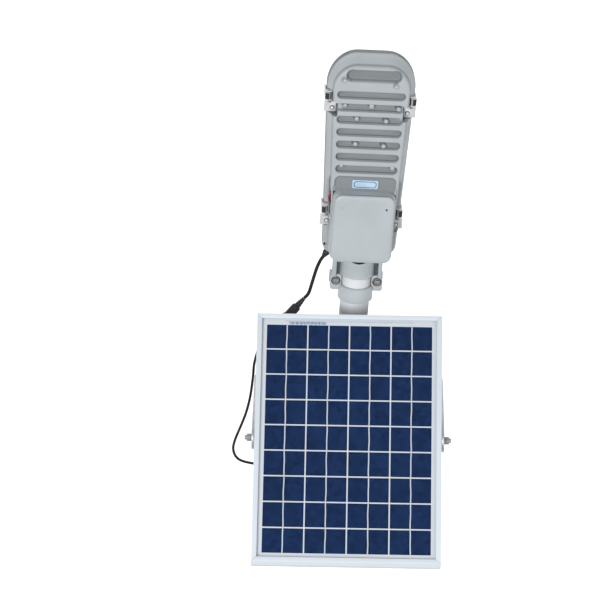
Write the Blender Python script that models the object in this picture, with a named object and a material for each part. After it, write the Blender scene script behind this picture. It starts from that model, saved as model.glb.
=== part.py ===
"""Solar street lamp on a wall arm: every physical piece is its own named object.

Lengths are in millimetres and MM turns them into metres as a mesh is made. The wall plate's back
lies on the plane y = 0, the lamp reaches toward -Y and +Z is up. Each empty is a frame or an axis.
In the arm's frame x is sideways, -y runs out along the pipe and z stands off the pipe."""

import bpy
from math import atan2, cos, pi, radians, sin, sqrt
from mathutils import Vector

MM = 0.001
GAP = 0.3
ARM_RISE = 15.0
PIPE_R, PIPE_WALL, PIPE_END = 19.0, 2.0, 412.0
PLATE, PLATE_THICK, PLATE_HOLE_R, PLATE_SPACING = 120.0, 6.0, 5.5, 90.0
LAMP_START, LAMP_ROLL = 350.0, -4.5
BRACKET_AT, BRACKET_ROLL, BRACKET_YAW = 241.5, -0.9, 3.1
BRACKET_W, BRACKET_T, BRACKET_IN = 30.0, 3.0, 120.5
PIVOT_UP, PANEL_TILT = 190.0, 51.7
PANEL_W, PANEL_L, PANEL_H, PANEL_SHIFT, PIVOT_LOW = 240.0, 350.0, 17.0, 3.0, 4.6
LIP_W, LIP_T, WALL_T = 6.5, 1.5, 1.5
JUNCTION, JUNCTION_LOW = (62.0, 34.0), -13.5
REAR, NOSE = 66.0, 349.5
HEAD_TOP, HEAD_FALL, LID_SEAT = 25.0, 9.0 / 165.0, 36.0
GROOVE_START, GROOVE_PITCH, GROOVE_W, GROOVES = 197.5, 16.8, 10.0, 7
CLIPS = {"front_left": (1, 276.0), "front_right": (-1, 272.0), "rear_left": (1, 117.0), "rear_right": (-1, 115.0)}
CLIP_L, LATCH_PIN_Z = 15.0, 9.0
CLIP_IN, CLIP_OUT = {True: 12.0, False: 9.2}, {True: 3.5, False: 4.5}
LEAD_D, PANEL_LEAD_D = 4.5, 3.4

for old in list(bpy.data.objects):
    bpy.data.objects.remove(old, do_unlink=True)
scene = bpy.context.scene


def material(name, colour, rough=0.5, metal=0.0, alpha=1.0):
    mat = bpy.data.materials.new(name)
    mat.use_nodes = True
    shader = mat.node_tree.nodes["Principled BSDF"]
    shader.inputs["Base Color"].default_value = (*colour, 1.0)
    shader.inputs["Roughness"].default_value = rough
    shader.inputs["Metallic"].default_value = metal
    shader.inputs["Alpha"].default_value = alpha
    mat.diffuse_color = (*colour, alpha)
    return mat


CAST = material("cast_grey", (0.46, 0.50, 0.52), 0.45)
WHITE = material("white_coat", (0.80, 0.81, 0.82), 0.4)
STEEL = material("stainless", (0.62, 0.63, 0.64), 0.3, 1.0)
ALU = material("aluminium", (0.80, 0.82, 0.84), 0.35, 0.8)
BLACK = material("black_plastic", (0.02, 0.02, 0.02), 0.5)
RUBBER = material("black_rubber", (0.03, 0.03, 0.03), 0.7)
GLASS = material("clear_glass", (0.85, 0.92, 0.95), 0.05, 0.0, 0.35)
CELL = material("cell_blue", (0.02, 0.05, 0.16), 0.3)
SHEET = material("white_sheet", (0.82, 0.84, 0.86), 0.6)
RED = material("red_plastic", (0.6, 0.03, 0.03), 0.35)
LABEL = material("label_blue", (0.55, 0.72, 0.88), 0.4)
BOARD = material("board_white", (0.85, 0.85, 0.80), 0.5)
GREEN = material("board_green", (0.03, 0.25, 0.09), 0.5)
BATTERY = material("battery_wrap", (0.05, 0.20, 0.45), 0.4)


def frame(name, parent=None, at=(0, 0, 0), turn=(0, 0, 0), order="XYZ"):
    empty = bpy.data.objects.new(name, None)
    scene.collection.objects.link(empty)
    empty.empty_display_size = 0.02
    empty.parent = parent
    empty.location = Vector(at) * MM
    empty.rotation_mode = order
    empty.rotation_euler = [radians(a) for a in turn]
    return empty


def mesh_node(name, verts, faces, mat, parent, smooth=False, at=(0, 0, 0), turn=(0, 0, 0)):
    mesh = bpy.data.meshes.new(name)
    mesh.from_pydata([Vector(v) * MM for v in verts], [], faces)
    mesh.materials.append(mat)
    mesh.validate()
    node = bpy.data.objects.new(name, mesh)
    scene.collection.objects.link(node)
    node.parent = parent
    node.location = Vector(at) * MM
    node.rotation_euler = [radians(a) for a in turn]
    if smooth:
        mesh.shade_auto_smooth(angle=radians(35)) if hasattr(mesh, "shade_auto_smooth") else soften(mesh)
    return node


def soften(mesh):
    mesh.set_sharp_from_angle(angle=radians(35))
    for face in mesh.polygons:
        face.use_smooth = True


def lofted(rings, loop=False, strips=False):
    """Verts and faces of a body through rings of equal count, capped unless it closes on itself.
    Strips caps a ring that mirrors itself end to end with a row of flat quads."""
    count, verts, faces = len(rings[0]), [v for ring in rings for v in ring], []
    for k in range(len(rings) - (0 if loop else 1)):
        a, b = k * count, (k + 1) % len(rings) * count
        for i in range(count):
            j = (i + 1) % count
            faces.append((a + i, a + j, b + j, b + i))
    top = len(verts) - count
    if strips:
        for i in range(count // 2 - 1):
            low = (i, count - 1 - i, count - 2 - i, i + 1)
            faces += [low, tuple(top + k for k in reversed(low))]
    elif not loop:
        faces += [tuple(range(count))[::-1], tuple(range(top, top + count))]
    return verts, outward(verts, faces)


def outward(verts, faces):
    volume = 0.0
    for f in faces:
        for i in range(1, len(f) - 1):
            volume += Vector(verts[f[0]]).dot(Vector(verts[f[i]]).cross(Vector(verts[f[i + 1]])))
    return faces if volume > 0 else [tuple(reversed(f)) for f in faces]


def loft(name, rings, mat, parent, loop=False, smooth=False, strips=False, **place):
    return mesh_node(name, *lofted(rings, loop, strips), mat, parent, smooth, **place)


def place3(u, v, w, axis):
    """A point with u, v across and w along the named axis."""
    return {"Z": (u, v, w), "Y": (u, w, v), "X": (w, u, v)}[axis]


def prism(name, outline, low, high, mat, parent, axis="Z", **place):
    rings = [[place3(u, v, w, axis) for u, v in outline] for w in (low, high)]
    return loft(name, rings, mat, parent, **place)


def circle(r, count=32, at=(0, 0), start=0.0):
    return [(at[0] + r * cos(start + 2 * pi * i / count), at[1] + r * sin(start + 2 * pi * i / count))
            for i in range(count)]


def hexagon(r, at=(0, 0)):
    """Twelve points of a hexagon of corner radius r: its corners and the middles of its sides."""
    return [(at[0] + q * cos(pi * i / 6), at[1] + q * sin(pi * i / 6))
            for i in range(12) for q in (r if i % 2 == 0 else r * cos(pi / 6),)]


def rounded(x0, x1, y0, y1, r, steps=4):
    points = []
    for cx, cy, start in ((x1 - r, y1 - r, 0), (x0 + r, y1 - r, 90), (x0 + r, y0 + r, 180), (x1 - r, y0 + r, 270)):
        for i in range(steps + 1):
            a = radians(start + 90 * i / steps)
            points.append((cx + r * cos(a), cy + r * sin(a)))
    return points


def box(name, x, y, z, mat, parent, r=0.0, **place):
    outline = rounded(*x, *y, r) if r else [(x[0], y[0]), (x[1], y[0]), (x[1], y[1]), (x[0], y[1])]
    return prism(name, outline, z[0], z[1], mat, parent, **place)


def turned(name, profile, mat, parent, axis="Z", count=32, centre=(0, 0), smooth=True, **place):
    """A solid turned about an axis: profile points are (radius, along), radius 0 only at its ends."""
    rings = [[place3(u, v, w, axis) for u, v in circle(max(r, 0.01), count, centre)] for r, w in profile]
    return loft(name, rings, mat, parent, smooth=smooth, **place)


def tube(name, inner, outer, low, high, mat, parent, axis="Z", count=32, centre=(0, 0), **place):
    corners = ((outer, low), (outer, high), (inner, high), (inner, low))
    rings = [[place3(u, v, w, axis) for u, v in circle(r, count, centre)] for r, w in corners]
    return loft(name, rings, mat, parent, loop=True, smooth=True, **place)


def bolt(name, stations, mat, parent, axis="Z", centre=(0, 0), **place):
    """A bolt as one body: stations are (kind, size, low, high) with kind hex or round."""
    rings = []
    for kind, size, low, high in stations:
        shape = hexagon(size, centre) if kind == "hex" else circle(size, 12, centre)
        rings += [[place3(u, v, w, axis) for u, v in shape] for w in (low, high)]
    return loft(name, rings, mat, parent, **place)


def merged(name, pieces, mat, parent):
    """One helper mesh out of several closed bodies, given as verts and faces."""
    verts, faces = [], []
    for v, f in pieces:
        faces += [tuple(i + len(verts) for i in face) for face in f]
        verts += v
    return mesh_node(name, verts, faces, mat, parent)


def boolean(node, tool, operation="DIFFERENCE"):
    change = node.modifiers.new(tool.name, "BOOLEAN")
    change.operation = operation
    change.object = tool
    change.solver = "EXACT"
    tool.hide_render = True
    tool.hide_set(True)
    tool.display_type = "WIRE"
    return node


def rod(centre, r, low, high, axis="Z", count=24):
    return lofted([[place3(u, v, w, axis) for u, v in circle(r, count, centre)] for w in (low, high)])


def block(x, y, z, r=0.0):
    outline = rounded(*x, *y, r) if r else [(x[0], y[0]), (x[1], y[0]), (x[1], y[1]), (x[0], y[1])]
    return lofted([[(u, v, w) for u, v in outline] for w in z])


def drill(node, pieces, parent, operation="DIFFERENCE", tag="cut"):
    """Cuts, or joins on, each piece in turn through helper meshes."""
    return boolean(node, merged(f"{node.name}_{tag}", pieces, CAST, parent), operation)


# ---------------------------------------------------------------- wall arm and panel bracket

def wall_arm(arm):
    plate = prism("wall_plate", rounded(-60, 60, -60, 60, 8), -PLATE_THICK, 0, WHITE, None, axis="Y")
    half = PLATE_SPACING / 2
    drill(plate, [rod((x, z), PLATE_HOLE_R, -9, 3, "Y") for x in (-half, half) for z in (-half, half)], None)
    rings = []
    for r, end in ((PIPE_R, 0), (PIPE_R, 1), (PIPE_R - PIPE_WALL, 1), (PIPE_R - PIPE_WALL, 0)):
        ring = []
        for x, z in circle(r, 40):
            foot = (PLATE_THICK + GAP + z * sin(radians(ARM_RISE))) / cos(radians(ARM_RISE))
            ring.append((x, -PIPE_END if end else -foot, z))
        rings.append(ring)
    loft("arm_pipe", rings, WHITE, arm, loop=True, smooth=True)
    face = PLATE_THICK + GAP
    under = [(-y, (y * sin(radians(ARM_RISE)) - PIPE_R - GAP - 0.6) / cos(radians(ARM_RISE))) for y in (face, 95.0)]
    web = [(-face, -55.0), under[0], under[1], (-95.0, under[1][1] - 8.0)]
    prism("arm_gusset", web, -2, 2, WHITE, None, axis="X")


def saddle(arm):
    clamp = frame("saddle_axis", arm, (0, -BRACKET_AT, 0), (0, BRACKET_ROLL, 0))
    inner = PIPE_R + GAP
    for name, side in (("saddle_upper", 1), ("saddle_lower", -1)):
        start = atan2(2.0, sqrt(inner ** 2 - 4.0))
        arc = [(inner * cos(pi - a), inner * sin(pi - a)) for a in
               (start + (pi - 2 * start) * i / 16 for i in range(17))]
        crown = [(18, 29), (-18, 29)] if side > 0 else [(16, 25), (-16, 25)]
        outline = [(38, 2), (38, 7), (25, 7)] + crown + [(-25, 7), (-38, 7), (-38, 2)] + arc
        half = prism(name, [(x, z * side) for x, z in outline], -20, 20, STEEL, clamp, axis="Y")
        holes = [rod((x, 0), 3.3, -9, 9) for x in (-31.5, 31.5)]
        if side > 0:
            holes.append(rod((0, 0), 4.3, 22.5, 31))
        drill(half, holes, clamp)
    for tag, x in (("a", 31.5), ("b", -31.5)):
        spots = [("hex", 5.8, -12, -7.3), ("round", 3.0, -7.3, 7.3), ("hex", 5.8, 7.3, 11.5)]
        bolt(f"saddle_bolt_{tag}", spots, STEEL, clamp, centre=(x, 0))
    return clamp


def bracket(clamp):
    turn = frame("bracket_axis", clamp, (0, 0, 0), (0, 0, BRACKET_YAW))
    inner, t, bend, base, wide = BRACKET_IN, BRACKET_T, 9.0, 29.3, BRACKET_W / 2
    path = []
    for k in range(7):
        a = radians(90 - 90 * k / 6)
        path.append((inner + t / 2, PIVOT_UP + wide * sin(a), 1, 0, max(wide * cos(a), 1.0)))
    for k in range(6):
        a = radians(90 * k / 5)
        path.append((inner - bend + (bend + t / 2) * cos(a), base + t + bend - (bend + t / 2) * sin(a),
                     cos(a), -sin(a), wide))
    path += [(-x, z, -nx, nz, w) for x, z, nx, nz, w in reversed(path)]
    rings = [[(x + s * nx * t / 2, q * w, z + s * nz * t / 2) for s, q in ((1, -1), (1, 1), (-1, 1), (-1, -1))]
             for x, z, nx, nz, w in path]
    strap = loft("u_bracket", rings, STEEL, turn)
    drill(strap, [rod((0, PIVOT_UP), 3.3, x, x + 12, "X") for x in (116, -128)] + [rod((0, 0), 4.3, 25, 36)], turn)
    bolt("swivel_bolt", [("round", 4.0, 23.0, 32.6), ("round", 9.0, 32.6, 34.2), ("hex", 7.5, 34.2, 40.0)], STEEL, turn)
    return turn


# ---------------------------------------------------------------- solar panel

def frame_bar(name, side, length, panel, along):
    """One mitred bar: (depth in from the outer face, height) profile swept along a side."""
    top, low = PANEL_H / 2, -PANEL_H / 2
    profile = [(0, low), (12, low), (12, low + 1.5), (WALL_T, low + 1.5), (WALL_T, 0.2), (8, 0.2), (8, 1.7),
               (WALL_T, 1.7), (WALL_T, top - LIP_T), (LIP_W, top - LIP_T), (LIP_W, top), (0, top)]
    half, outer = length / 2, (PANEL_W if along == "Y" else PANEL_L) / 2
    rings = []
    for end in (-1, 1):
        ring = []
        for d, z in profile:
            across, run = side * (outer - d), end * (half - d - 0.15)
            ring.append((across, run + PANEL_SHIFT, z) if along == "Y" else (run, across + PANEL_SHIFT, z))
        rings.append(ring)
    return loft(name, rings, ALU, panel)


def solar_panel(turn):
    tilt = frame("panel_tilt_axis", turn, (0, 0, PIVOT_UP), (PANEL_TILT, 0, 0))
    panel = frame("panel_middle", tilt, (0, 0, PIVOT_LOW))
    for name, side, length, along in (("frame_left", 1, PANEL_L, "Y"), ("frame_right", -1, PANEL_L, "Y"),
                                      ("frame_bottom", 1, PANEL_W, "X"), ("frame_top", -1, PANEL_W, "X")):
        bar = frame_bar(name, side, length, panel, along)
        if along == "Y":
            drill(bar, [block(sorted((side * 104, side * 118.4)), (-6.5, 6.5), (-12, 0.1))], panel, tag="notch")
            drill(bar, [rod((0, -PIVOT_LOW), 3.3, *sorted((side * 114, side * 124)), "X")], panel)
    x, y = PANEL_W / 2 - 2.2, PANEL_L / 2 - 2.2
    for name, low, high, mat in (("panel_glass", 3.6, 6.7, GLASS), ("cell_laminate", 2.6, 3.3, CELL),
                                 ("back_sheet", 2.0, 2.3, SHEET)):
        box(name, (-x, x), (PANEL_SHIFT - y, PANEL_SHIFT + y), (low, high), mat, panel)
    cx, cy = JUNCTION
    junction = box("junction_box", (cx - 30, cx + 30), (cy - 24, cy + 24), (-21.0, 1.7), BLACK, panel, r=4)
    drill(junction, [block((cx - 28, cx + 28), (cy - 22, cy + 22), (-22.0, -0.5), 3)], panel)
    drill(junction, [rod((cy, JUNCTION_LOW), 4.0, cx + 24, cx + 33, "X")], panel, tag="entry")
    box("junction_box_lid", (cx - 31, cx + 31), (cy - 25, cy + 25), (-24.0, -21.3), BLACK, panel, r=5)
    stations = [(3.7, cx + 29), (3.7, cx + 30.3), (6.0, cx + 30.3), (6.0, cx + 36), (4.6, cx + 37), (4.0, cx + 43)]
    turned("junction_gland", stations, BLACK, panel, axis="X", count=20, centre=(cy, JUNCTION_LOW))
    for name, side in (("left", 1), ("right", -1)):
        x0, centre = [side * v for v in (114.0, 118.1, 132.5)], (0, -PIVOT_LOW)
        spots = [("hex", 4.4, x0[0], x0[1]), ("round", 3.0, x0[1], x0[2])]
        bolt(f"pivot_bolt_{name}", spots, STEEL, panel, axis="X", centre=centre)
        low, high = sorted((side * (BRACKET_IN + BRACKET_T + GAP), side * (BRACKET_IN + BRACKET_T + 6.3)))
        rings = [[place3(u, v, w, "X") for u, v in ring] for ring, w in
                 ((hexagon(5.4, centre), low), (hexagon(5.4, centre), high),
                  (circle(3.3, 12, centre), high), (circle(3.3, 12, centre), low))]
        loft(f"pivot_nut_{name}", rings, STEEL, panel, loop=True)
    return panel


# ---------------------------------------------------------------- lamp

def edge(along):
    """The housing's half width at a distance out from the neck."""
    return 48.0 + (along - 82.0) * 9.0 / 223.0


def lamp_outline(inset, z, nose=NOSE, rear=REAR):
    """The housing's outline drawn in by inset; z is a number or a function of the distance out."""
    right = []
    for i in range(6):
        a = radians(-90 + 90 * i / 5)
        right.append((32 + (16 - inset) * cos(a), rear + 16 + (16 - inset) * sin(a)))
    for along in (166.0, 188.0, 240.0):
        right.append((edge(along) - inset, along))
    for i in range(10):
        a = radians(90 * i / 9)
        right.append((19 + (38 - inset) * cos(a), nose - 46 + (46 - inset) * sin(a)))
    points = right + [(-x, y) for x, y in reversed(right)]
    return [(x, -along, z(along) if callable(z) else z) for x, along in points]


def head_top(along):
    return HEAD_TOP - max(along - 175.0, 0.0) * HEAD_FALL


def shoulder(along):
    """The height of the sloping shoulder: low beside the case, near the top along the fins."""
    t = min(max((along - 168.0) / 24.0, 0.0), 1.0)
    return 4.5 + t * t * (3 - 2 * t) * (head_top(along) - 8.5)


def slot(along, half, low, high, wide=GROOVE_W):
    """A round-ended groove across the head."""
    return block((-half, half), (-along - wide / 2, -along + wide / 2), (low, high), wide / 2 - 0.1)


def housing(lamp):
    levels = ((0, -10.0), (0.6, 1.5), (2.2, 3.6), (7.0, shoulder), (8.2, lambda a: head_top(a) - 1.2),
              (9.4, head_top))
    rings = [lamp_outline(inset, z) for inset, z in levels]
    body = loft("housing", rings, CAST, lamp, strips=True)
    drill(body, [lofted([[(x * k, y, z) for x, y in rounded(-42, 42, -168, -70, 10)]
                         for k, z in ((1.0, 5.0), (0.93, LID_SEAT))])], lamp, "UNION", "case")
    drill(body, [rod((0, 0), PIPE_R + GAP + 3.4, -69.5, -4, "Y", 40)], lamp, "UNION", "sleeve")
    drill(body, [block((s * 25.5 - 8.5, s * 25.5 + 8.5), (-39, -17), (-3, 6), 3) for s in (-1, 1)],
          lamp, "UNION", "ears")
    drill(body, [block((s * 29.5 - 2.5, s * 29.5 + 2.5), (-75, -36), (-3, 9)) for s in (-1, 1)],
          lamp, "UNION", "rails")
    drill(body, [block((s * 25.5 - 4.5, s * 25.5 + 4.5), (-74, -37), (-2.9, 1.6)) for s in (-1, 1)],
          lamp, "UNION", "webs")
    bore = [rod((0, 0), PIPE_R + GAP, -64, 0, "Y", 40)]
    drill(body, bore, lamp, tag="bore")
    cuts = [block((-17, 17), (-39, -25), (8.5, 30)), block((-24, 24), (-40, -21), (-30, -5.5))]
    cuts += [rod((s * 27.0, -30.0), 2.8, -8, 10) for s in (-1, 1)]
    cuts += [block((-35, 35), (-162, -82), (-6, 40), 6)]
    cuts += [block((-38, 38), (-187, -169.5), (22.5, 30), 4)]
    cuts += [slot(323.3, 35, 9.5, 30, 16), rod((45.0, -81.0), 1.8, 0.5, 12, count=12)]
    for k in range(GROOVES):
        at = GROOVE_START + k * GROOVE_PITCH
        cuts.append(slot(at, edge(at) - 12.5, head_top(at) - 6.0, 35))
    drill(body, cuts, lamp, tag="cuts")
    pads = []
    for side, at in CLIPS.values():
        x = sorted((side * (edge(at) - CLIP_IN[at > 200] - 0.8), side * (edge(at) + 8.0)))
        pads.append(block(x, (-at - 24, -at + 9), (3.3, 32)))
    drill(body, pads, lamp, tag="pads")
    drill(body, [lofted([lamp_outline(8, z, rear=172) for z in (-12.0, 3.5)], strips=True)], lamp, tag="chamber")
    drill(body, [lofted([[(x, y, z) for x, y in ring] for ring, z in (
        (rounded(36, 46, -165, -145, 1), 12), (rounded(36, 46, -165, -145, 1), 23))])], lamp, tag="switch")
    drill(body, [gland_rod(3.3, -9, 12)], lamp, tag="lead_hole")
    return body


GLAND_AT, GLAND_DIR = Vector((40.0, -68.1, -3.5)), Vector((1, 1.73, 0)).normalized()


def gland_point(u, v, w):
    """A point of the gland's own frame: w runs out along the lead."""
    across = GLAND_DIR.cross(Vector((0, 0, 1)))
    return tuple(GLAND_AT + GLAND_DIR * w + across * u + Vector((0, 0, 1)) * v)


def gland_rod(r, low, high):
    return lofted([[gland_point(u, v, w) for u, v in circle(r, 16)] for w in (low, high)])


def lid_parts(lamp):
    seat = LID_SEAT + GAP
    outer, inner = rounded(-38.5, 38.5, -166, -73, 9, 5), rounded(-34.5, 34.5, -162, -82, 6, 5)
    rings = [[(x, y, z) for x, y in ring] for ring, z in ((outer, seat), (outer, seat + 1.2), (inner, seat + 1.2),
                                                        (inner, seat))]
    gasket = loft("lid_gasket", rings, RUBBER, lamp, loop=True)
    base = seat + 1.2 + GAP
    levels = ((0.0, base), (0.0, base + 2.2), (1.2, base + 3.6), (3.5, base + 4.4))
    rings = [[(x, y, z) for x, y in rounded(-39 + i, 39 - i, -166.5 + i, -72.5 - i, 10 - i, 5)] for i, z in levels]
    lid = loft("lid", rings, CAST, lamp, smooth=True)
    top = base + 4.4
    spots = {"a": (-28.5, -149.5), "b": (30.0, -150.0)}
    drill(lid, [rod(c, 2.0, seat, top + 3, count=16) for c in spots.values()], lamp)
    for tag, centre in spots.items():
        bolt(f"lid_screw_{tag}", [("round", 1.6, base - 8, top + GAP), ("round", 2.9, top + GAP, top + 1.6)],
             STEEL, lamp, centre=centre)


def lamp_inside(lamp):
    box("battery_pack", (-31, 31), (-118, -86), (-5.4, 26), BATTERY, lamp, r=3)
    box("controller_board", (-30, 30), (-158, -122), (4, 5.6), GREEN, lamp)
    box("led_board", (-40, 40), (-326, -184), (1.6, 3.2), BOARD, lamp, r=12)
    rings = [[(x, y, z) for x, y in rounded(-w, w, -l1, -l0, r)] for w, l0, l1, r, z in
             ((41, 184, 328, 14, -9.0), (41, 184, 328, 14, 1.2), (33, 192, 320, 8, 1.2), (38, 187, 325, 12, -9.0))]
    loft("reflector", rings, BOARD, lamp, loop=True)
    box("label_plate", (-17, 17), (-181.5, -169.8), (22.8, 23.6), LABEL, lamp, r=2)


def neck_clamp(lamp):
    inner = PIPE_R + GAP
    arc = [(inner * cos(a), inner * sin(a)) for a in (radians(200 + 140 * i / 12) for i in range(13))]
    shell = [(24.0 * cos(a), 24.0 * sin(a)) for a in (radians(334 - 128 * i / 12) for i in range(13))]
    low = inner * sin(radians(200))
    outline = arc + [(35, low), (35, low - 3.9)] + shell + [(-35, low - 3.9), (-35, low)]
    strap = prism("clamp_saddle", outline, -38.5, -22.5, CAST, lamp, axis="Y")
    drill(strap, [rod((s * 27.0, -30.0), 2.8, -20, 0) for s in (-1, 1)], lamp)
    for tag, x in (("a", 27.0), ("b", -27.0)):
        foot = low - 3.9 - GAP
        bolt(f"clamp_bolt_{tag}", [("hex", 4.6, foot - 4, foot), ("round", 2.5, foot, 6.3), ("round", 5.0, 6.3, 7.3),
                                   ("hex", 4.6, 7.3, 10.8)], STEEL, lamp, centre=(x, -30.0))


def switch(lamp):
    base = box("switch_body", (36.3, 43.2), (-164.7, -145.3), (12.3, 22.7), BLACK, lamp)
    drill(base, [block((37.6, 48), (-162.5, -147.5), (13.8, 21.2))], lamp)
    axis = frame("switch_axis", lamp, (42.3, -155.0, 17.5))
    outline = [(-1.2, -6.6), (-1.2, 6.6), (3.2, 6.3), (4.2, 0), (1.6, -6.3)]
    prism("switch_rocker", [(u, v) for u, v in outline], -3.3, 3.3, RED, axis)


def gland(lamp):
    rings = [[gland_point(u, v, w) for u, v in circle(r, 16)] for r, w in
             ((3.0, -4), (3.0, 0.8), (4.7, 0.8), (4.7, 4.5), (3.8, 5.6), (3.1, 9))]
    loft("cable_gland", rings, BLACK, lamp, smooth=True)


def clips(lamp):
    for name, (side, at) in CLIPS.items():
        x, pin_x = edge(at) - CLIP_IN[at > 200], edge(at) - 1.2
        half = CLIP_L / 2
        plate = mesh_node(f"latch_base_{name}", *block(sorted((side * x, side * (edge(at) + CLIP_OUT[at > 200]))),
                          (-at - half, -at + half), (3.7, 5.2), 1.0), STEEL, lamp)
        ears = [block(sorted((side * (edge(at) - 5.0), side * (edge(at) + 2.0))), (y, y + 1.2), (4.4, 12.0))
                for y in (-at - half + 0.2, -at - half - 15.6)]
        rail = block(sorted((side * (edge(at) - 9.0), side * (edge(at) - 4.6))), (-at - half - 15.6, -at - half + 1.4),
                     (3.7, 5.2))
        rivet = rod((side * (x + 5.0), -at + 2.0), 2.4, 4.6, 6.6, count=12)
        drill(plate, [rail], lamp, "UNION", "rail")
        drill(plate, ears, lamp, "UNION", "ears")
        drill(plate, [rivet], lamp, "UNION", "rivet")
        drill(plate, [rod((side * pin_x, LATCH_PIN_Z), 1.3, -at - half - 20, -at - half + 3, "Y", 12)], lamp)
        centre = -at - half - 7.1
        turned(f"latch_pin_{name}", [(1.0, centre - 9.0), (1.0, centre + 9.0)], STEEL, lamp, axis="Y", count=12,
               centre=(side * pin_x, LATCH_PIN_Z))
        axis = frame(f"latch_axis_{name}", lamp, (side * pin_x, centre, LATCH_PIN_Z))
        lever(name, side, axis, edge(-centre) - (edge(at) - 1.2))


def lever(name, side, axis, reach):
    """The over-centre strap in its axis frame: reach is from the pin out to the housing's side."""
    inner, outer, down = reach + 1.1, reach + 2.4, -LATCH_PIN_Z - 16.6
    shell = [(outer * cos(a), outer * sin(a)) for a in (radians(80 - 16 * i) for i in range(6))]
    hub = [(2.6 * cos(a), 2.6 * sin(a)) for a in (radians(-40 - 22 * i) for i in range(10))]
    strap = [(outer, down - 1.5), (reach + 0.9, down - 1.5), (reach + 0.9, down - 0.3), (inner, down), (inner, -2.4)]
    outline = [(u * side, v) for u, v in shell + strap + hub]
    strap = prism(f"latch_lever_{name}", outline, -6.4, 6.4, STEEL, axis, axis="Y")
    drill(strap, [rod((0, 0), 1.3, -9, 9, "Y", 12)], axis)


def cover(lamp):
    drop = frame("cover_drop_axis", lamp, (0, 0, 0))
    rings = [lamp_outline(i, z, rear=70) for i, z in ((1.0, -11.8), (1.0, -10.3), (6.0, -10.3), (6.0, -11.8))]
    loft("cover_gasket", rings, RUBBER, drop, loop=True)
    rings = [lamp_outline(i, z, rear=70) for i, z in ((0.7, -12.1), (2.6, -17.0), (5.2, -20.0))]
    pan = loft("cover_frame", rings, CAST, drop, strips=True)
    window, seat = rounded(-41, 41, -334, -184, 16), rounded(-45, 45, -338, -180, 18)
    drill(pan, [lofted([[(x, y, z) for x, y in window] for z in (-25, -10)]),], drop, tag="window")
    drill(pan, [lofted([[(x, y, z) for x, y in seat] for z in (-16.6, -10)])], drop, tag="seat")
    drill(pan, [block((-38, 38), (-170, -78), (-17.5, -10), 8)], drop, tag="tray")
    catches = []
    for side, at in CLIPS.values():
        along = at + CLIP_L / 2 + 7.1
        x = sorted((side * (edge(along) - 4.2), side * (edge(along) + 0.6)))
        catches.append(block(x, (-along - 5, -along + 5), (-16.5, -13.2)))
    drill(pan, catches, drop, "UNION", "catches")
    prism("cover_glass", rounded(-44.7, 44.7, -337.7, -180.3, 17.7), -16.3, -12.7, GLASS, drop)


# ---------------------------------------------------------------- leads and their connectors

PLUG_START, PLUG_END = Vector((66.0, -334.5, 84.0)), Vector((115.5, -272.0, 92.0))


def smooth_route(points, spacing):
    """Points every spacing along a smooth curve through the route's points."""
    ends = [points[0] * 2 - points[1]] + points + [points[-1] * 2 - points[-2]]
    dense = []
    for k in range(1, len(ends) - 2):
        p0, p1, p2, p3 = ends[k - 1:k + 3]
        for i in range(24):
            t = i / 24
            dense.append(0.5 * (2 * p1 + (p2 - p0) * t + (2 * p0 - 5 * p1 + 4 * p2 - p3) * t * t
                                + (3 * p1 - p0 - 3 * p2 + p3) * t ** 3))
    dense.append(points[-1])
    total = sum((b - a).length for a, b in zip(dense, dense[1:]))
    count = max(2, round(total / spacing))
    out, walked, target = [dense[0]], 0.0, total / count
    for a, b in zip(dense, dense[1:]):
        step = (b - a).length
        while walked + step >= target - 1e-9 and len(out) < count:
            out.append(a.lerp(b, (target - walked) / step))
            target += total / count
        walked += step
    return out + [dense[-1]]


def lead(name, route, diameter):
    curve = bpy.data.curves.new(name, "CURVE")
    curve.dimensions = "3D"
    curve.bevel_depth = diameter / 2 * MM
    curve.bevel_resolution = 2
    curve.use_fill_caps = True
    points = smooth_route(route, diameter * 2.4)
    spline = curve.splines.new("POLY")
    spline.points.add(len(points) - 1)
    for point, at in zip(spline.points, points):
        point.co = (*(at * MM), 1.0)
    curve.materials.append(RUBBER)
    node = bpy.data.objects.new(name, curve)
    scene.collection.objects.link(node)
    return node


def connector(name, start, end, stations, count=20):
    """A turned connector half between two world points, each station a (share, radius)."""
    along = (end - start).normalized()
    side = along.cross(Vector((0, 0, 1))).normalized()
    up = side.cross(along)
    rings = [[tuple(start.lerp(end, share) + side * u + up * v) for u, v in circle(r, count)] for share, r in stations]
    return loft(name, rings, BLACK, None, smooth=True)


def leads(lamp, panel):
    bpy.context.view_layer.update()
    out = lambda frame_, p: (frame_.matrix_world @ (Vector(p) * MM)) / MM
    start = out(lamp, gland_point(0, 0, 9.0 + GAP))
    second = out(lamp, gland_point(0, 0, 16.0))
    axis = (PLUG_END - PLUG_START).normalized()
    entry = PLUG_START - axis * GAP
    lead("lamp_lead", [start, second, *[Vector(p) for p in LAMP_ROUTE_POINTS], entry - axis * 8, entry], LEAD_D)
    middle = PLUG_START.lerp(PLUG_END, 0.56)
    connector("lamp_plug", PLUG_START, middle - axis * 0.15,
              [(0, 2.6), (0.2, 3.4), (0.42, 4.6), (0.45, 6.6), (0.72, 6.6), (0.75, 8.0), (0.98, 8.0), (1, 7.6)])
    connector("panel_socket", PLUG_END, middle + axis * 0.15,
              [(0, 2.1), (0.25, 2.8), (0.5, 3.8), (0.54, 6.2), (1, 6.2)])
    gland_out = out(panel, (JUNCTION[0] + 43.0 + GAP, JUNCTION[1], JUNCTION_LOW))
    gland_next = out(panel, (JUNCTION[0] + 51.0, JUNCTION[1], JUNCTION_LOW))
    leave = PLUG_END + axis * GAP
    lead("panel_lead", [gland_out, gland_next, *[Vector(p) for p in PANEL_ROUTE_POINTS], leave + axis * 8, leave],
         PANEL_LEAD_D)


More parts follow.
